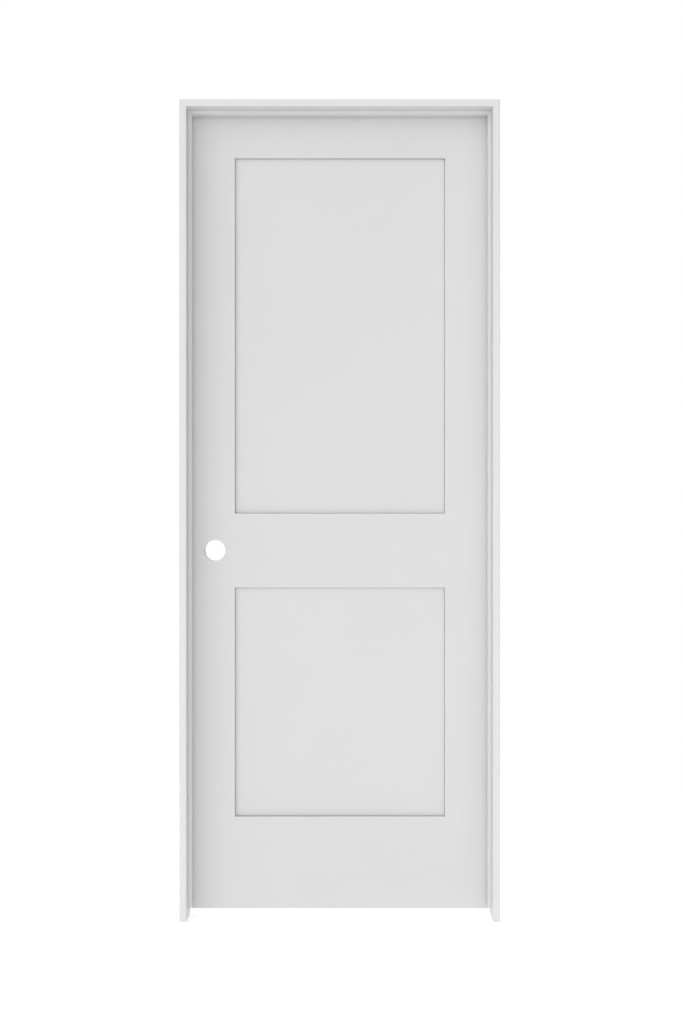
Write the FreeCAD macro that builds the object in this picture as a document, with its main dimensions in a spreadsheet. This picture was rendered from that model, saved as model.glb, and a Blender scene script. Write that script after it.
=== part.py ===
import FreeCAD, Part
import math
import os
import re
import Sketcher

# Prehung two-panel shaker interior door, seen from its push side in the photo.
# +X is right in the photo, +Y goes away from the viewer, +Z is up. The origin is on the outer
# face of the hinge jamb, at its foot and in the middle of its depth.

# Every size, in millimetres
SIZES = {
    # slab and the gaps round it
    "slab_wide": 762.0,
    "slab_high": 2032.0,
    "slab_thick": 35.0,
    "side_gap": 5.2,
    "head_gap": 5.2,
    "foot_gap": 17.0,
    "edge_bevel": 2.2,
    "slab_ease": 1.0,
    # stiles, rails and panels
    "stile_wide": 112.0,
    "top_rail_high": 109.5,
    "lock_rail_high": 190.5,
    "bottom_rail_high": 235.0,
    "lower_opening_high": 586.5,
    "panel_thick": 12.7,
    "panel_reveal": 0.8,
    "tongue_thick": 8.0,
    "groove_deep": 10.0,
    "sticking": 1.0,
    # jambs and stops
    "jamb_thick": 17.5,
    "jamb_deep": 116.0,
    "jamb_ease": 1.0,
    "outer_ease": 1.0,
    "housing_deep": 9.5,
    "relief_out": 29.0,
    "relief_wide": 5.0,
    "relief_deep": 2.5,
    "stop_thick": 9.5,
    "stop_wide": 32.0,
    "stop_gap": 5.0,
    "stop_ease": 1.0,
    "stop_foot": 26.0,
    # lock preparation
    "bore_up": 917.0,
    "backset": 60.3,
    "lock_bore_radius": 27.0,
    "latch_bore_radius": 12.7,
    "strike_bore_radius": 11.1,
    "face_plate_high": 57.2,
    "face_plate_wide": 25.4,
    "face_plate_deep": 4.1,
    "strike_plate_wide": 28.6,
    "strike_plate_deep": 1.6,
    "plate_round": 6.35,
    # hinges
    "hinge_high": 89.0,
    "hinge_low": 279.0,
    "hinge_drop": 178.0,
    "leaf_reach": 44.4,
    "leaf_thick": 2.2,
    "leaf_round": 15.9,
    "mortise_play": 0.2,
    "pin_out": 15.4,
    "knuckle_radius": 5.6,
    "knuckle_gap": 0.4,
    "leaf_clear": 6.2,
    "tab_end": 2.9,
    "screw_head_radius": 4.3,
    "screw_shank_radius": 2.3,
    "screw_near": 25.0,
    "screw_far": 36.0,
    "screw_end": 14.0,
    "pin_radius": 3.1,
    "pin_play": 0.05,
    "pin_tail": 2.0,
    "pin_tip": 0.8,
    "pin_head_radius": 5.0,
    "pin_head_high": 3.0,
    "pin_head_ease": 1.2,
    # how far a cutter runs past the wood it cuts
    "past": 5.0,
}

doc = FreeCAD.newDocument("ShakerDoor")
sheet = doc.addObject("Spreadsheet::Sheet", "Sizes")
for row, (alias, size) in enumerate(SIZES.items(), 1):
    sheet.set(f"A{row}", str(size))
    sheet.setAlias(f"A{row}", alias)
doc.recompute()

# Places that many pieces share, as sums of the sizes
FRAME_WIDE = "(slab_wide + 2 * side_gap + 2 * jamb_thick)"
HEAD_UNDER = "(foot_gap + slab_high + head_gap)"
FRAME_HIGH = f"({HEAD_UNDER} + jamb_thick)"
SLAB_HINGE_X = "(-jamb_thick - side_gap)"
SLAB_STRIKE_X = f"({SLAB_HINGE_X} - slab_wide)"
SLAB_TOP = "(foot_gap + slab_high)"
SLAB_BACK = "(jamb_deep / 2)"
SLAB_FRONT = f"({SLAB_BACK} - slab_thick)"
SLAB_MID = f"({SLAB_BACK} - slab_thick / 2)"
STOP_BACK = f"({SLAB_FRONT} - stop_gap)"
OPENING_LEFT = f"({SLAB_STRIKE_X} + stile_wide)"
OPENING_RIGHT = f"({SLAB_HINGE_X} - stile_wide)"
LOWER_SILL = "(foot_gap + bottom_rail_high)"
LOWER_HEAD = f"({LOWER_SILL} + lower_opening_high)"
UPPER_SILL = f"({LOWER_HEAD} + lock_rail_high)"
UPPER_HEAD = f"({SLAB_TOP} - top_rail_high)"
BORE_UP = "(foot_gap + bore_up)"
PIN_X = "(-jamb_thick - side_gap / 2)"
PIN_Y = f"({SLAB_BACK} + pin_out)"
HINGE_PITCH = f"(({SLAB_TOP} - hinge_drop - hinge_high - hinge_low) / 2)"
KNUCKLE = "(hinge_high / 5)"


def rule(text):
    """The same sum with each size read from the sheet."""
    return re.sub(r"[a-z][a-z_]+", lambda word: "Sizes." + word.group(), text)


def number(text):
    return float(sheet.evalExpression(rule(text)))


def bind(item, **rules):
    for name, text in rules.items():
        item.setExpression(name, rule(text))


def place(item, x, y, z):
    for axis, text in (("x", x), ("y", y), ("z", z)):
        item.setExpression(f"Placement.Base.{axis}", rule(text))


def box(name, x, y, z):
    """A block between two sums along each axis."""
    block = doc.addObject("Part::Box", name)
    place(block, x[0], y[0], z[0])
    bind(block, Length=f"{x[1]} - {x[0]}", Width=f"{y[1]} - {y[0]}", Height=f"{z[1]} - {z[0]}")
    return block


def origin_part(body, role):
    return next(item for item in body.Origin.OriginFeatures if item.Role == role)


def new_body(node, x="0", y="0", z="0"):
    body = doc.addObject("PartDesign::Body", node)
    body.Label = node
    place(body, x, y, z)
    return body


def new_sketch(body, name, plane, offset):
    sketch = body.newObject("Sketcher::SketchObject", name)
    sketch.AttachmentSupport = [(origin_part(body, plane), "")]
    sketch.MapMode = "FlatFace"
    sketch.setExpression("AttachmentOffset.Base.z", rule(offset))
    return sketch


def fix_point(sketch, curve, end, u, v):
    """Ties one point of a curve to sums measured from the sketch origin."""
    for kind, text, axis in (("DistanceX", u, -2), ("DistanceY", v, -1)):
        if text == "0":
            sketch.addConstraint(Sketcher.Constraint("PointOnObject", curve, end, axis))
            continue
        tie = sketch.addConstraint(Sketcher.Constraint(kind, -1, 1, curve, end, number(text)))
        sketch.setExpression(f"Constraints[{tie}]", rule(text))


def fix_radius(sketch, curve, radius):
    tie = sketch.addConstraint(Sketcher.Constraint("Radius", curve, number(radius)))
    sketch.setExpression(f"Constraints[{tie}]", rule(radius))


def step_back(corner, other):
    """The point one radius from a rounded corner on the side toward another corner."""
    u, v, radius = corner
    du = number(other[0]) - number(u)
    dv = number(other[1]) - number(v)
    if abs(du) > abs(dv):
        return f"({u}) + {math.copysign(1, du):.0f} * {radius}", v
    return u, f"({v}) + {math.copysign(1, dv):.0f} * {radius}"


def outline(body, name, plane, corners, offset="0"):
    """A closed outline in a sketch. A corner with a third entry is rounded by it."""
    sketch = new_sketch(body, name, plane, offset)
    path = []
    for place_in, corner in enumerate(corners):
        if len(corner) == 2:
            path.append((corner, None))
            continue
        before = step_back(corner, corners[place_in - 1])
        after = step_back(corner, corners[(place_in + 1) % len(corners)])
        path.append((before, corner))
        path.append((after, None))
    spots = [FreeCAD.Vector(number(u), number(v), 0) for (u, v), _ in path]
    curves = []
    for place_in, (_, corner) in enumerate(path):
        start = spots[place_in]
        end = spots[(place_in + 1) % len(spots)]
        if corner is None:
            curves.append((sketch.addGeometry(Part.LineSegment(start, end), False), 1, 2))
            continue
        bend = FreeCAD.Vector(number(corner[0]), number(corner[1]), 0)
        centre = start + end - bend
        circle = Part.Circle(centre, FreeCAD.Vector(0, 0, 1), number(corner[2]))
        left_turn = (bend - start).cross(end - bend).z > 0
        first, last = (start, end) if left_turn else (end, start)
        arc = Part.ArcOfCircle(circle, circle.parameter(first), circle.parameter(last))
        ends = (1, 2) if left_turn else (2, 1)
        curves.append((sketch.addGeometry(arc, False), *ends))
    for place_in, (curve, _, end) in enumerate(curves):
        following, start, _ = curves[(place_in + 1) % len(curves)]
        sketch.addConstraint(Sketcher.Constraint("Coincident", curve, end, following, start))
    for ((u, v), corner), (curve, start, _) in zip(path, curves):
        fix_point(sketch, curve, start, u, v)
        if corner is not None:
            fix_radius(sketch, curve, corner[2])
    return sketch


def circle(body, name, plane, u, v, radius, offset="0"):
    sketch = new_sketch(body, name, plane, offset)
    middle = FreeCAD.Vector(number(u), number(v), 0)
    curve = sketch.addGeometry(Part.Circle(middle, FreeCAD.Vector(0, 0, 1), number(radius)), False)
    fix_point(sketch, curve, 3, u, v)
    fix_radius(sketch, curve, radius)
    return sketch


def pad(body, sketch, name, length):
    feature = body.newObject("PartDesign::Pad", name)
    feature.Profile = sketch
    bind(feature, Length=length)
    doc.recompute()
    return feature


def pocket(body, sketch, name, depth, forward=False):
    """Cuts against the sketch's normal, or along it."""
    before = body.Shape.Volume
    feature = body.newObject("PartDesign::Pocket", name)
    feature.Profile = sketch
    feature.Reversed = forward
    bind(feature, Length=depth)
    doc.recompute()
    if feature.Shape.Volume > before - 1:
        raise RuntimeError(f"{name} cuts nothing")
    return feature


def repeat_up(body, features, name, length, count):
    pattern = body.newObject("PartDesign::LinearPattern", name)
    pattern.Originals = features
    pattern.Direction = (origin_part(body, "Z_Axis"), [""])
    bind(pattern, Length=length)
    pattern.Occurrences = count
    body.Tip = pattern
    doc.recompute()
    return pattern


def rectangle(u, v, radius=None):
    """Four corners between two sums each way."""
    corners = [(u[0], v[0]), (u[1], v[0]), (u[1], v[1]), (u[0], v[1])]
    return corners if radius is None else [(*corner, radius) for corner in corners]


def flare(name, x, z, face, ease, opens_back):
    """A cutter that eases the arris round an opening at 45 degrees, with mitred corners."""
    wedge = doc.addObject("Part::Wedge", name)
    wide = {"Xmin": f"{x[0]} - 2 * {ease}", "Xmax": f"{x[1]} + 2 * {ease}"}
    wide |= {"Zmin": f"{z[0]} - 2 * {ease}", "Zmax": f"{z[1]} + 2 * {ease}"}
    narrow = {"Xmin": x[0], "Xmax": x[1], "Zmin": z[0], "Zmax": z[1]}
    near, far = (narrow, wide) if opens_back else (wide, narrow)
    far = {side.replace("m", "2m"): text for side, text in far.items()}
    bind(wedge, Ymin="0", Ymax=f"2 * {ease}", **near, **far)
    place(wedge, "0", f"{face} - {ease}", "0")
    return wedge


def flares(name, openings, front, back, ease):
    """The easing cutters of some openings on the front and the back face."""
    group = doc.addObject("Part::Compound", name)
    cutters = []
    for count, (x, z) in enumerate(openings, 1):
        cutters.append(flare(f"{name}_front_{count}", x, z, front, ease, False))
        cutters.append(flare(f"{name}_back_{count}", x, z, back, ease, True))
    group.Links = cutters
    return group


def cut(node, base, tool):
    """The finished piece: a blank less its cutter."""
    base.Label = f"{node}_blank"
    piece = doc.addObject("Part::Cut", f"{node}_piece")
    piece.Base = base
    piece.Tool = tool
    piece.Label = node
    return piece


# Easing cutters
JAMB_OPENING = ((f"(jamb_thick - {FRAME_WIDE})", "(-jamb_thick)"), ("(-past)", HEAD_UNDER))
STOP_OPENING = (
    (f"(jamb_thick + stop_thick - {FRAME_WIDE})", "(-jamb_thick - stop_thick)"),
    ("(-past)", f"({HEAD_UNDER} - stop_thick)"),
)
PANEL_OPENINGS = [
    ((OPENING_LEFT, OPENING_RIGHT), (UPPER_SILL, UPPER_HEAD)),
    ((OPENING_LEFT, OPENING_RIGHT), (LOWER_SILL, LOWER_HEAD)),
]
jamb_flares = flares("jamb_easing", [JAMB_OPENING], "(-jamb_deep / 2)", SLAB_BACK, "jamb_ease")
stop_flares = flares("stop_easing", [STOP_OPENING], f"({STOP_BACK} - stop_wide)", STOP_BACK, "stop_ease")
panel_flares = flares("sticking_easing", PANEL_OPENINGS, SLAB_FRONT, SLAB_BACK, "sticking")

nodes = {}


# Jambs. A jamb leg's board goes inward from its outer face, along -X or +X.
def leg_blank(node, inward, x):
    body = new_body(node, x)
    half = "jamb_deep / 2"
    edge = [(0, f"{half} - outer_ease"), ("outer_ease", half), ("jamb_thick", half)]
    kerf_out = "relief_out + relief_wide / 2"
    kerf_in = "relief_out - relief_wide / 2"
    kerf = [(0, kerf_in), ("relief_deep", kerf_in), ("relief_deep", kerf_out), (0, kerf_out)]
    back = kerf + edge
    front = [(u, f"-({v})") for u, v in reversed(back)]
    corners = [("0" if u == 0 else f"{inward} * {u}", v) for u, v in front + back]
    profile = outline(body, f"{node}_profile", "XY_Plane", corners)
    pad(body, profile, f"{node}_board", FRAME_HIGH)
    across = (f"{inward} * (jamb_thick - housing_deep)", f"{inward} * (jamb_thick + past)")
    along = (f"-({half} + past)", f"{half} + past")
    housing = outline(body, f"{node}_housing_plan", "XY_Plane", rectangle(across, along), FRAME_HIGH)
    pocket(body, housing, f"{node}_housing", "jamb_thick")
    return body


# The two corners of a hinge leaf or its mortise that lie inside the wood are rounded.
def leaf_corners(y_in, y_out, z_low, z_high):
    return [(y_in, z_low, "leaf_round"), (y_out, z_low), (y_out, z_high), (y_in, z_high, "leaf_round")]


def hinge_mortises(body, node, face, foot, into_plus_x=False):
    """Three leaf mortises in a face that looks along X, a little larger than the leaves."""
    y_in = f"{PIN_Y} - leaf_reach - mortise_play"
    z_low = f"{foot} - mortise_play"
    z_high = f"{foot} + hinge_high + mortise_play"
    corners = leaf_corners(y_in, f"{SLAB_BACK} + past", z_low, z_high)
    shape = outline(body, f"{node}_mortise_plan", "YZ_Plane", corners, face)
    mortise = pocket(body, shape, f"{node}_mortise", "leaf_thick", into_plus_x)
    repeat_up(body, [mortise], f"{node}_mortises", f"2 * {HINGE_PITCH}", 3)


hinge_leg = leg_blank("hinge_jamb", -1, "0")
hinge_mortises(hinge_leg, "hinge_jamb", "-jamb_thick", "hinge_low", True)
nodes["hinge_jamb"] = cut("hinge_jamb", hinge_leg, jamb_flares)

strike_leg = leg_blank("strike_jamb", 1, f"-{FRAME_WIDE}")
strike_y = (f"{SLAB_MID} - strike_plate_wide / 2", f"{SLAB_MID} + strike_plate_wide / 2")
plate_z = (f"{BORE_UP} - face_plate_high / 2", f"{BORE_UP} + face_plate_high / 2")
strike_plan = rectangle(strike_y, plate_z, "plate_round")
strike_sketch = outline(strike_leg, "strike_plate_plan", "YZ_Plane", strike_plan, "jamb_thick")
pocket(strike_leg, strike_sketch, "strike_plate_mortise", "strike_plate_deep")
strike_hole = circle(
    strike_leg, "strike_bore_plan", "YZ_Plane", SLAB_MID, BORE_UP, "strike_bore_radius", "jamb_thick"
)
pocket(strike_leg, strike_hole, "strike_bore", "jamb_thick + past")
nodes["strike_jamb"] = cut("strike_jamb", strike_leg, jamb_flares)

head_length = f"{FRAME_WIDE} - 2 * (jamb_thick - housing_deep)"
head_body = new_body("head_jamb", f"-({FRAME_WIDE} - jamb_thick + housing_deep)", "0", HEAD_UNDER)
head_end = rectangle(("-jamb_deep / 2", "jamb_deep / 2"), ("0", "jamb_thick"))
head_plan = outline(head_body, "head_jamb_profile", "YZ_Plane", head_end)
pad(head_body, head_plan, "head_jamb_board", head_length)
nodes["head_jamb"] = cut("head_jamb", head_body, jamb_flares)



# Stops. The side stops butt under the head stop. The two corners next to the jamb are eased here,
# and the two that show at the opening by the easing cutter.
def stop_corners(out):
    """The section of a stop whose body has its origin on the jamb: out is -1 or 1, along -X or +X."""
    front = f"({STOP_BACK} - stop_wide)"
    return [
        ("0", f"{front} + stop_ease"),
        (f"{out} * stop_ease", front),
        (f"{out} * stop_thick", front),
        (f"{out} * stop_thick", STOP_BACK),
        (f"{out} * stop_ease", STOP_BACK),
        ("0", f"{STOP_BACK} - stop_ease"),
    ]


for node, out, x in (("hinge_stop", -1, "-jamb_thick"), ("strike_stop", 1, f"jamb_thick - {FRAME_WIDE}")):
    stop = new_body(node, x, "0", "stop_foot")
    section = outline(stop, f"{node}_section", "XY_Plane", stop_corners(out))
    pad(stop, section, f"{node}_strip", f"{HEAD_UNDER} - stop_thick - stop_foot")
    nodes[node] = cut(node, stop, stop_flares)

head_stop = new_body("head_stop", f"jamb_thick - {FRAME_WIDE}", "0", HEAD_UNDER)
head_corners = [(y, z) for z, y in stop_corners(-1)]
head_section = outline(head_stop, "head_stop_section", "YZ_Plane", head_corners)
pad(head_stop, head_section, "head_stop_strip", f"{FRAME_WIDE} - 2 * jamb_thick")
nodes["head_stop"] = cut("head_stop", head_stop, stop_flares)

# Stiles. A stile's board goes from its outer edge toward the panels; its inner edge is grooved.
groove_y = (f"{SLAB_MID} - tongue_thick / 2", f"{SLAB_MID} + tongue_thick / 2")


def stile_blank(node, inward, x, bevel):
    body = new_body(node, x, "0", "foot_gap")
    front_corner = f"{inward} * {bevel}" if bevel != "0" else "0"
    corners = [
        (f"{inward} * ({bevel} + slab_ease)", SLAB_FRONT),
        (f"{inward} * stile_wide", SLAB_FRONT),
        (f"{inward} * stile_wide", groove_y[0]),
        (f"{inward} * (stile_wide - groove_deep)", groove_y[0]),
        (f"{inward} * (stile_wide - groove_deep)", groove_y[1]),
        (f"{inward} * stile_wide", groove_y[1]),
        (f"{inward} * stile_wide", SLAB_BACK),
        (f"{inward} * slab_ease", SLAB_BACK),
        ("0", f"{SLAB_BACK} - slab_ease"),
        (front_corner, f"{SLAB_FRONT} + slab_ease"),
    ]
    profile = outline(body, f"{node}_profile", "XY_Plane", corners)
    pad(body, profile, f"{node}_board", "slab_high")
    return body


hinge_stile = stile_blank("hinge_stile", -1, SLAB_HINGE_X, "0")
hinge_mortises(hinge_stile, "hinge_stile", "0", "(hinge_low - foot_gap)")
nodes["hinge_stile"] = cut("hinge_stile", hinge_stile, panel_flares)

strike_stile = stile_blank("strike_stile", 1, SLAB_STRIKE_X, "edge_bevel")
before_slab = f"-({SLAB_FRONT} - past)"
lock_hole = circle(
    strike_stile, "lock_bore_plan", "XZ_Plane", "backset", "bore_up", "lock_bore_radius", before_slab
)
pocket(strike_stile, lock_hole, "lock_bore", "slab_thick + 2 * past")
latch_hole = circle(strike_stile, "latch_bore_plan", "YZ_Plane", SLAB_MID, "bore_up", "latch_bore_radius")
pocket(strike_stile, latch_hole, "latch_bore", "backset", True)
face_y = (f"{SLAB_MID} - face_plate_wide / 2", f"{SLAB_MID} + face_plate_wide / 2")
face_z = ("bore_up - face_plate_high / 2", "bore_up + face_plate_high / 2")
face_corners = rectangle(face_y, face_z, "plate_round")
face_plan = outline(strike_stile, "face_plate_plan", "YZ_Plane", face_corners)
pocket(strike_stile, face_plan, "face_plate_mortise", "face_plate_deep", True)
nodes["strike_stile"] = cut("strike_stile", strike_stile, panel_flares)

# Rails. Each has a stub tenon that fills the stiles' groove, and a groove where a panel goes in.
RAILS = {
    "top_rail": (UPPER_HEAD, SLAB_TOP, True, False),
    "lock_rail": (LOWER_HEAD, UPPER_SILL, True, True),
    "bottom_rail": ("foot_gap", LOWER_SILL, False, True),
}
slab_y = (SLAB_FRONT, SLAB_BACK)
tongue_x = (f"({OPENING_LEFT} - groove_deep)", f"({OPENING_RIGHT} + groove_deep)")
cutter_x = (f"({tongue_x[0]} - past)", f"({tongue_x[1]} + past)")
tongue_y = tuple(f"({end})" for end in groove_y)
for node, (low, high, groove_below, groove_above) in RAILS.items():
    board = box(f"{node}_board", (OPENING_LEFT, OPENING_RIGHT), slab_y, (low, high))
    tenon = box(f"{node}_tenon", tongue_x, tongue_y, (low, high))
    blank = doc.addObject("Part::MultiFuse", node)
    blank.Shapes = [board, tenon]
    cutters = [panel_flares]
    if groove_below:
        reach = (f"({low} - past)", f"({low} + groove_deep)")
        cutters.append(box(f"{node}_lower_groove", cutter_x, tongue_y, reach))
    if groove_above:
        reach = (f"({high} - groove_deep)", f"({high} + past)")
        cutters.append(box(f"{node}_upper_groove", cutter_x, tongue_y, reach))
    tool = doc.addObject("Part::MultiFuse", f"{node}_cutters")
    tool.Shapes = cutters
    nodes[node] = cut(node, blank, tool)

# Panels. A thin tongue goes into the grooves all round, and a thin shadow line is left between the
# panel's thicker field and the stiles and rails.
PANELS = {"upper_panel": (UPPER_SILL, UPPER_HEAD), "lower_panel": (LOWER_SILL, LOWER_HEAD)}
field_x = (f"({OPENING_LEFT} + panel_reveal)", f"({OPENING_RIGHT} - panel_reveal)")
field_y = (f"({SLAB_MID} - panel_thick / 2)", f"({SLAB_MID} + panel_thick / 2)")
for node, (low, high) in PANELS.items():
    tongue_z = (f"({low} - groove_deep)", f"({high} + groove_deep)")
    tongue = box(f"{node}_tongue", tongue_x, tongue_y, tongue_z)
    field_z = (f"({low} + panel_reveal)", f"({high} - panel_reveal)")
    field = box(f"{node}_field", field_x, field_y, field_z)
    panel = doc.addObject("Part::MultiFuse", f"{node}_board")
    panel.Shapes = [tongue, field]
    panel.Label = node
    nodes[node] = panel


# Hinges, each with its own origin on the pin's axis at the foot of its barrel
def countersinks(node, away, x, y, z):
    """Three screw holes in an arc, each a cone from the leaf's face to its back."""
    group = doc.addObject("Part::Compound", f"{node}_countersinks")
    cones = []
    spots = [("screw_near", "screw_end"), ("screw_far", "hinge_high / 2")]
    spots.append(("screw_near", "hinge_high - screw_end"))
    for count, (inward, up) in enumerate(spots, 1):
        cone = doc.addObject("Part::Cone", f"{node}_countersink_{count}")
        bind(cone, Radius1="screw_head_radius", Radius2="screw_shank_radius", Height="leaf_thick")
        cone.Placement.Rotation = FreeCAD.Rotation(FreeCAD.Vector(0, 1, 0), 90 * away)
        place(cone, f"{x} + {away} * side_gap / 2", f"{y} - {inward}", f"{z} + {up}")
        cones.append(cone)
    group.Links = cones
    return group


def leaf(node, away, x, y, z, first_knuckle, count):
    """A leaf on one side of the pin, with its knuckles and the tabs that join them."""
    body = new_body(node, x, y, z)
    near_face = f"{away} * side_gap / 2"
    plate_side = near_face if away == 1 else f"{near_face} - leaf_thick"
    corners = leaf_corners("-leaf_reach", "-leaf_clear", "0", "hinge_high")
    plan = outline(body, f"{node}_plan", "YZ_Plane", corners, plate_side)
    pad(body, plan, f"{node}_plate", "leaf_thick")
    low = f"{first_knuckle} * {KNUCKLE} + knuckle_gap / 2"
    high = f"{KNUCKLE} - knuckle_gap"
    across = (near_face, f"{away} * (side_gap / 2 + leaf_thick)")
    inward = ("-leaf_clear - leaf_thick", "-tab_end")
    tab_plan = outline(body, f"{node}_tab_plan", "XY_Plane", rectangle(across, inward), low)
    tab = pad(body, tab_plan, f"{node}_tab", high)
    ring_plan = circle(body, f"{node}_knuckle_plan", "XY_Plane", "0", "0", "knuckle_radius", low)
    ring = pad(body, ring_plan, f"{node}_knuckle", high)
    repeat_up(body, [tab, ring], f"{node}_knuckles", f"{2 * (count - 1)} * {KNUCKLE}", count)
    above = "hinge_high + past"
    hole = circle(body, f"{node}_pin_hole_plan", "XY_Plane", "0", "0", "pin_radius + pin_play", above)
    pocket(body, hole, f"{node}_pin_hole", "hinge_high + 2 * past")
    return cut(node, body, countersinks(node, away, x, y, z))


def pin(node, x, y, z):
    body = new_body(node, x, y, z)
    seat = "hinge_high - knuckle_gap / 2"
    corners = [
        ("0", "-pin_tail"),
        ("pin_radius - pin_tip", "-pin_tail"),
        ("pin_radius", "pin_tip - pin_tail"),
        ("pin_radius", seat),
        ("pin_head_radius", seat),
        ("pin_head_radius", f"{seat} + pin_head_high - pin_head_ease"),
        ("pin_head_radius - pin_head_ease", f"{seat} + pin_head_high"),
        ("0", f"{seat} + pin_head_high"),
    ]
    profile = outline(body, f"{node}_profile", "XZ_Plane", corners)
    turned = body.newObject("PartDesign::Revolution", f"{node}_turned")
    turned.Profile = profile
    turned.ReferenceAxis = (profile, ["V_Axis"])
    turned.Angle = 360
    doc.recompute()
    return body


for place_up, level in enumerate(("lower", "middle", "upper")):
    foot = f"(hinge_low + {place_up} * {HINGE_PITCH})"
    nodes[f"{level}_hinge_jamb_leaf"] = leaf(f"{level}_hinge_jamb_leaf", 1, PIN_X, PIN_Y, foot, 0, 3)
    nodes[f"{level}_hinge_door_leaf"] = leaf(f"{level}_hinge_door_leaf", -1, PIN_X, PIN_Y, foot, 1, 2)
    nodes[f"{level}_hinge_pin"] = pin(f"{level}_hinge_pin", PIN_X, PIN_Y, foot)

doc.recompute()

# Checks, then one file for each piece
for item in doc.Objects:
    if {"Invalid", "Error"} & set(item.State):
        raise RuntimeError(f"{item.Label} did not compute: {item.State}")
    shape = getattr(item, "Shape", None)
    if shape is not None and (shape.isNull() or not shape.isValid()):
        raise RuntimeError(f"{item.Label} has no valid shape")
os.makedirs("parts", exist_ok=True)
for node, piece in nodes.items():
    if piece.Label != node or len(piece.Shape.Solids) != 1:
        raise RuntimeError(f"{node} is not one solid under its own name")
    piece.Shape.exportStep(f"parts/{node}.step")
print(len(nodes), "pieces written")
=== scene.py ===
import math
import random

import bmesh
import bpy
from mathutils import Matrix, Vector


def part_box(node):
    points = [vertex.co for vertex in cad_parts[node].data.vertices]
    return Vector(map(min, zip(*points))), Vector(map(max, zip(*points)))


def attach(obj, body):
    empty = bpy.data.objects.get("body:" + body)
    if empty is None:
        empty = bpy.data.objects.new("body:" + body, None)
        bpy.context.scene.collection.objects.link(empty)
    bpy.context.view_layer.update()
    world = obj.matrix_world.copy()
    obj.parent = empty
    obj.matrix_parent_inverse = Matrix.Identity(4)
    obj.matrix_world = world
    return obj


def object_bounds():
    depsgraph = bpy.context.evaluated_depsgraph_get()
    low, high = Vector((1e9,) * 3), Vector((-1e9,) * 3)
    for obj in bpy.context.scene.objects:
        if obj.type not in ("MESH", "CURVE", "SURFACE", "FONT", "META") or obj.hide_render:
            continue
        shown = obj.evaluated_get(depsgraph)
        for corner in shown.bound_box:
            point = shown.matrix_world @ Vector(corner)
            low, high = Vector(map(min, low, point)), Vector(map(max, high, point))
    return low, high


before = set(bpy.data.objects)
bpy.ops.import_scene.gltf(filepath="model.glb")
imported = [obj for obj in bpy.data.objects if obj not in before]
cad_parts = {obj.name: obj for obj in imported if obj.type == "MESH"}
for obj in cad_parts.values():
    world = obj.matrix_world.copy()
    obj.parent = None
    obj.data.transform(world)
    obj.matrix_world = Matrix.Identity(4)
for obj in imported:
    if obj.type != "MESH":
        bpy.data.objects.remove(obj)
cad_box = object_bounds()
scene = bpy.context.scene

# Paint of the wooden nodes: its tone, the axis of the wood's fibres, and how far they show
X, Z = 0, 2
PAINTS = {
    "frame_upright": (("hinge_jamb", "strike_jamb", "hinge_stop", "strike_stop"), 0.755, Z, 0.28),
    "frame_level": (("head_jamb", "head_stop"), 0.765, X, 0.28),
    "door_upright": (("hinge_stile", "strike_stile"), 0.70, Z, 0.30),
    "door_level": (("top_rail", "lock_rail", "bottom_rail"), 0.70, X, 0.30),
    "door_panel": (("upper_panel", "lower_panel"), 0.70, Z, 0.10),
}

# Detail of the paint. A part is a share of the paint's tone, a scale is in cells of noise a metre,
# a band is the range of the noise over which a detail comes in, and a height is in metres.
WHITE_PART, CLOUD_PART, STREAK_PART = 1.01, 0.995, 0.93
CLOUD_SCALE, CLOUD_BAND = 3.5, (0.35, 0.65)
FIBRE_SCALE, FIBRE_BAND = 900, (0.4, 0.7)
FIBRE_STRETCH, FIBRE_HEIGHT = 0.006, 0.0002
SPRAY_SCALE, SPRAY_BAND, SPRAY_TINT = 800, (0.5, 0.75), 0.3
PEEL_STRENGTH, PEEL_HEIGHT = 0.5, 0.00015
SHEEN_SCALE, SHEEN_BAND = 40, (0.3, 0.7)
PAINT_ROUGHNESS = (0.38, 0.50)
PAINT_GLOSS = 0.35

# Detail of the nickel, whose brush marks run level
BRUSH_SCALE, BRUSH_BAND, BRUSH_STRETCH = 300, (0.3, 0.7), 14
BRUSH_STRENGTH, BRUSH_HEIGHT = 0.12, 0.0001
NICKEL_ROUGHNESS = (0.26, 0.40)
NICKEL_DARK = (0.50, 0.48, 0.45, 1)
NICKEL_LIGHT = (0.66, 0.64, 0.60, 1)


# Materials
def join(tree, value, socket):
    """Links an output to the socket, or sets the socket to a plain value."""
    if isinstance(value, bpy.types.NodeSocket):
        tree.links.new(value, socket)
    else:
        socket.default_value = value


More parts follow.
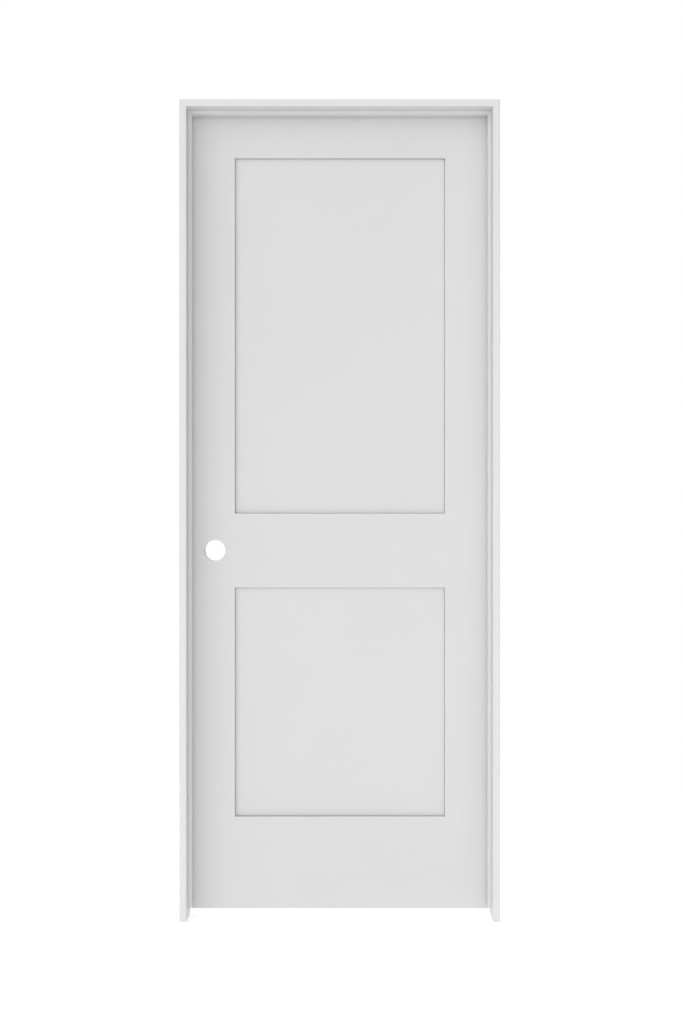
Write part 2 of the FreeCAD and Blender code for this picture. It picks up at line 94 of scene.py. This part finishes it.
class Shader:
    """A material with one main shader, and short ways to add and join nodes."""

    def __init__(self, name):
        self.material = bpy.data.materials.new(name)
        self.material.use_nodes = True
        self.tree = self.material.node_tree
        self.main = self.tree.nodes["Principled BSDF"]
        self.place = self.add("ShaderNodeTexCoord").outputs["Object"]

    def add(self, kind, **inputs):
        node = self.tree.nodes.new(kind)
        for name, value in inputs.items():
            join(self.tree, value, node.inputs[name])
        return node

    def give(self, inputs):
        """Joins or sets inputs of the main shader."""
        for name, value in inputs.items():
            join(self.tree, value, self.main.inputs[name])

    def noise(self, scale, detail=2, roughness=0.5, stretch=(1, 1, 1)):
        spread = self.add("ShaderNodeMapping", Vector=self.place, Scale=stretch).outputs[0]
        inputs = {"Vector": spread, "Scale": scale, "Detail": detail, "Roughness": roughness}
        return self.add("ShaderNodeTexNoise", **inputs).outputs["Fac"]

    def span(self, value, band, result):
        """Maps the values of a band to those of the result, and holds them at its ends."""
        node = self.add("ShaderNodeMapRange", Value=value)
        for socket, number in zip(node.inputs[1:5], (*band, *result)):
            socket.default_value = number
        return node.outputs[0]

    def tint(self, amount, first, second):
        """Mixes two colours. The sockets go by number, since the node's names repeat."""
        node = self.add("ShaderNodeMix")
        node.data_type = "RGBA"
        for number, value in ((0, amount), (6, first), (7, second)):
            join(self.tree, value, node.inputs[number])
        return node.outputs[2]

    def bump(self, height, strength, distance, after=None):
        node = self.add("ShaderNodeBump", Height=height, Strength=strength, Distance=distance)
        if after is not None:
            join(self.tree, after, node.inputs["Normal"])
        return node.outputs[0]


def grey(tone):
    return (tone, tone, tone, 1)


def primer(name, tone, axis, fibres):
    """Sprayed primer: faint clouds in tone, orange peel, and the wood's fibres along one axis."""
    shader = Shader(name)
    white, cloud, streak = (grey(tone * part) for part in (WHITE_PART, CLOUD_PART, STREAK_PART))
    stretch = [1, 1, 1]
    stretch[axis] = FIBRE_STRETCH
    threads = shader.noise(FIBRE_SCALE, detail=3, roughness=0.6, stretch=stretch)
    spray = shader.noise(SPRAY_SCALE)
    clouds = shader.noise(CLOUD_SCALE, detail=3)
    gloss = shader.noise(SHEEN_SCALE, detail=3)
    coat = shader.tint(shader.span(clouds, CLOUD_BAND, (0, 1)), cloud, white)
    coat = shader.tint(shader.span(threads, FIBRE_BAND, (0, fibres)), coat, streak)
    coat = shader.tint(shader.span(spray, SPRAY_BAND, (0, SPRAY_TINT)), coat, streak)
    peel = shader.bump(spray, PEEL_STRENGTH, PEEL_HEIGHT)
    shader.give(
        {
            "Base Color": coat,
            "Roughness": shader.span(gloss, SHEEN_BAND, PAINT_ROUGHNESS),
            "Normal": shader.bump(threads, fibres, FIBRE_HEIGHT, peel),
            "Specular IOR Level": PAINT_GLOSS,
        }
    )
    return shader.material


def satin_nickel(name):
    """Nickel with fine brush marks in its tone, roughness and relief."""
    shader = Shader(name)
    brushed = shader.noise(BRUSH_SCALE, detail=3, roughness=0.6, stretch=(1, 1, BRUSH_STRETCH))
    shader.give(
        {
            "Base Color": shader.tint(brushed, NICKEL_DARK, NICKEL_LIGHT),
            "Roughness": shader.span(brushed, BRUSH_BAND, NICKEL_ROUGHNESS),
            "Normal": shader.bump(brushed, BRUSH_STRENGTH, BRUSH_HEIGHT),
            "Metallic": 1,
        }
    )
    return shader.material


finish = {}
for name, (nodes, tone, axis, fibres) in PAINTS.items():
    paint = primer(name, tone, axis, fibres)
    finish.update({node: paint for node in nodes})
hinge_metal = satin_nickel("satin_nickel")
screw_metal = satin_nickel("screw_nickel")
for node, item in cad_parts.items():
    item.data.materials.clear()
    item.data.materials.append(finish.get(node, hinge_metal))

# Screws in the hinge leaves, let into the countersinks of the solids. LEAF_FACE is how far a leaf's
# face is from the pin's axis, on either side. A spot is measured from the axis toward the leaf's
# free end, and up from the leaf's foot. The crosses are turned at random, the same in every run.
LEAF_FACE = 0.0026
SCREW_SPOTS = ((0.025, 0.014), (0.036, 0.0445), (0.025, 0.075))
SCREW_SIDES = 40
HEAD_RADIUS, RIM_EASE = 0.00418, 0.0002
SHANK_RADIUS = 0.0023
CROSS_ARM, CROSS_REACH, CROSS_TAPER = 0.00048, 0.0021, 0.72
TURN_SEED = 7
# Heights of a screw's rings, from the leaf's face
RIM_UP, SHOULDER_UP, RECESS_UP, SHANK_UP = -0.00008, -0.00022, -0.00165, -0.00205


def ring(bm, points, size, up):
    return [bm.verts.new((x * size, y * size, up)) for x, y in points]


def loop_edges(bm, verts):
    return [bm.edges.new((verts[i - 1], verts[i])) for i in range(len(verts))]


def wall(bm, upper, lower):
    for i in range(len(upper)):
        bm.faces.new((upper[i - 1], upper[i], lower[i], lower[i - 1]))


def cross_outline():
    """The twelve corners of a cross recess."""
    arm = [(CROSS_REACH, -CROSS_ARM), (CROSS_REACH, CROSS_ARM), (CROSS_ARM, CROSS_ARM)]
    corners = []
    for step in range(4):
        c, s = math.cos(step * math.pi / 2), math.sin(step * math.pi / 2)
        corners += [(x * c - y * s, x * s + y * c) for x, y in arm]
    return corners


def add_screw(bm, place, turn):
    """A flat countersunk head with a cross recess, its top just under z = 0 before it is placed."""
    start = len(bm.verts)
    angles = [2 * math.pi * i / SCREW_SIDES for i in range(SCREW_SIDES)]
    circle = [(math.cos(angle), math.sin(angle)) for angle in angles]
    cross = cross_outline()
    rim = ring(bm, circle, HEAD_RADIUS - RIM_EASE, RIM_UP)
    shoulder = ring(bm, circle, HEAD_RADIUS, SHOULDER_UP)
    shank = ring(bm, circle, SHANK_RADIUS, SHANK_UP)
    recess_top = ring(bm, cross, 1, RIM_UP)
    recess_foot = ring(bm, cross, CROSS_TAPER, RECESS_UP)
    outline = loop_edges(bm, rim) + loop_edges(bm, recess_top)
    bmesh.ops.triangle_fill(bm, use_beauty=True, edges=outline)
    wall(bm, rim, shoulder)
    wall(bm, shoulder, shank)
    bm.faces.new(shank)
    wall(bm, recess_top, recess_foot)
    bm.faces.new(recess_foot)
    bm.verts.ensure_lookup_table()
    turned = place @ Matrix.Rotation(turn, 4, "Z")
    bmesh.ops.transform(bm, matrix=turned, verts=bm.verts[start:])


def screws(name, body, side, axis, foot, turns):
    """The three screws of one leaf: side is 1 for the jamb's leaf, whose face looks along -X."""
    bm = bmesh.new()
    facing = Matrix.Rotation(-side * math.pi / 2, 4, "Y")
    for (inward, up), turn in zip(SCREW_SPOTS, turns):
        spot = Vector((axis.x + side * LEAF_FACE, axis.y - inward, foot + up))
        add_screw(bm, Matrix.Translation(spot) @ facing, turn)
    bmesh.ops.recalc_face_normals(bm, faces=bm.faces)
    mesh = bpy.data.meshes.new(name)
    bm.to_mesh(mesh)
    bm.free()
    mesh.materials.append(screw_metal)
    piece = bpy.data.objects.new(name, mesh)
    scene.collection.objects.link(piece)
    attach(piece, body)


turning = random.Random(TURN_SEED)
for level in ("lower", "middle", "upper"):
    low, high = (Vector(corner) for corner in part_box(f"{level}_hinge_pin"))
    axis = (low + high) / 2
    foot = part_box(f"{level}_hinge_jamb_leaf")[0][2]
    for body, leaf, side in (("frame", "jamb_leaf", 1), ("door", "door_leaf", -1)):
        turns = [turning.uniform(0, math.pi / 2) for _ in SCREW_SPOTS]
        screws(f"{level}_{leaf}_screws", body, side, axis, foot, turns)

# Floor: a wide pale disc round the door's foot, with a glow that keeps it as white as in the photo
FLOOR_REACH, FLOOR_SIDES = 2.4, 96
FLOOR_TONE, FLOOR_ROUGHNESS = 0.72, 0.9
FLOOR_GLOW = 0.54
centre = (Vector(cad_box[0]) + Vector(cad_box[1])) / 2
bpy.ops.mesh.primitive_circle_add(
    vertices=FLOOR_SIDES, radius=FLOOR_REACH, fill_type="NGON", location=(centre.x, 0, 0)
)
floor = bpy.context.object
floor.name = "floor"
pale = Shader("pale_floor")
pale.give({"Base Color": grey(FLOOR_TONE), "Roughness": FLOOR_ROUGHNESS, "Specular IOR Level": 0})
pale.give({"Emission Color": grey(1), "Emission Strength": FLOOR_GLOW})
floor.data.materials.append(pale.material)

# Light: a soft studio sky. It shines from behind the door, fading toward the sides, and from broad
# lobes, each with its direction, sharpness and strength. Where the camera sees it, it is white.
BACK, BACK_FADE = 1.0, (-0.1, 0.6)
SKY = [
    ((0, -1, 0), 2, 1.46),
    ((-1, -1, 0), 8, 0.35),
    ((-1, -1, 1), 8, 0.95),
    ((0, 0, 1), 8, 0.80),
]


def studio_sky(lobes, back):
    world = bpy.data.worlds.new("studio")
    scene.world = world
    world.use_nodes = True
    tree = world.node_tree
    toward = tree.nodes.new("ShaderNodeTexCoord").outputs["Generated"]

    def combine(kind, first, second):
        node = tree.nodes.new("ShaderNodeMath")
        node.operation = kind
        join(tree, first, node.inputs[0])
        join(tree, second, node.inputs[1])
        return node.outputs[0]

    def along(axis):
        node = tree.nodes.new("ShaderNodeVectorMath")
        node.operation = "DOT_PRODUCT"
        join(tree, toward, node.inputs[0])
        join(tree, Vector(axis).normalized(), node.inputs[1])
        return node.outputs["Value"]

    ramp = tree.nodes.new("ShaderNodeMapRange")
    ramp.interpolation_type = "SMOOTHSTEP"
    join(tree, along((0, 1, 0)), ramp.inputs["Value"])
    for socket, number in zip(ramp.inputs[1:5], (*BACK_FADE, 0, back)):
        socket.default_value = number
    total = ramp.outputs[0]
    for axis, sharpness, strength in lobes:
        lobe = combine("POWER", combine("MAXIMUM", along(axis), 0), sharpness)
        total = combine("ADD", total, combine("MULTIPLY", lobe, strength))
    seen = tree.nodes.new("ShaderNodeLightPath").outputs["Is Camera Ray"]
    background = tree.nodes["Background"]
    join(tree, combine("MAXIMUM", total, seen), background.inputs["Strength"])
    join(tree, grey(1), background.inputs["Color"])


studio_sky(SKY, BACK)

# Camera. It looks straight along +Y, from a little to the right of the door's middle and at half
# its height, with its shift set so that the door's front lies where it does in the photograph.
DISTANCE = 4.5
CAMERA_HEIGHT = 1.03
CAMERA_RIGHT = 0.04
SENSOR_WIDTH = 36
PIXELS_PER_METRE = 397.2
PICTURE = (683, 1024)
DOOR_CENTRE_X = 339.65
FLOOR_ROW = 922.1
data = bpy.data.cameras.new("camera")
data.sensor_width = SENSOR_WIDTH
data.lens = DISTANCE * PIXELS_PER_METRE * SENSOR_WIDTH / PICTURE[1]
axis_x = DOOR_CENTRE_X + CAMERA_RIGHT * PIXELS_PER_METRE
axis_row = FLOOR_ROW - CAMERA_HEIGHT * PIXELS_PER_METRE
data.shift_x = (PICTURE[0] / 2 - axis_x) / PICTURE[1]
data.shift_y = (axis_row - PICTURE[1] / 2) / PICTURE[1]
camera = bpy.data.objects.new("camera", data)
scene.collection.objects.link(camera)
camera.location = (centre.x + CAMERA_RIGHT, cad_box[0][1] - DISTANCE, CAMERA_HEIGHT)
camera.rotation_euler = (math.pi / 2, 0, 0)
bpy.context.scene.camera = camera

scene.view_settings.view_transform = "Standard"
scene.view_settings.look = "None"
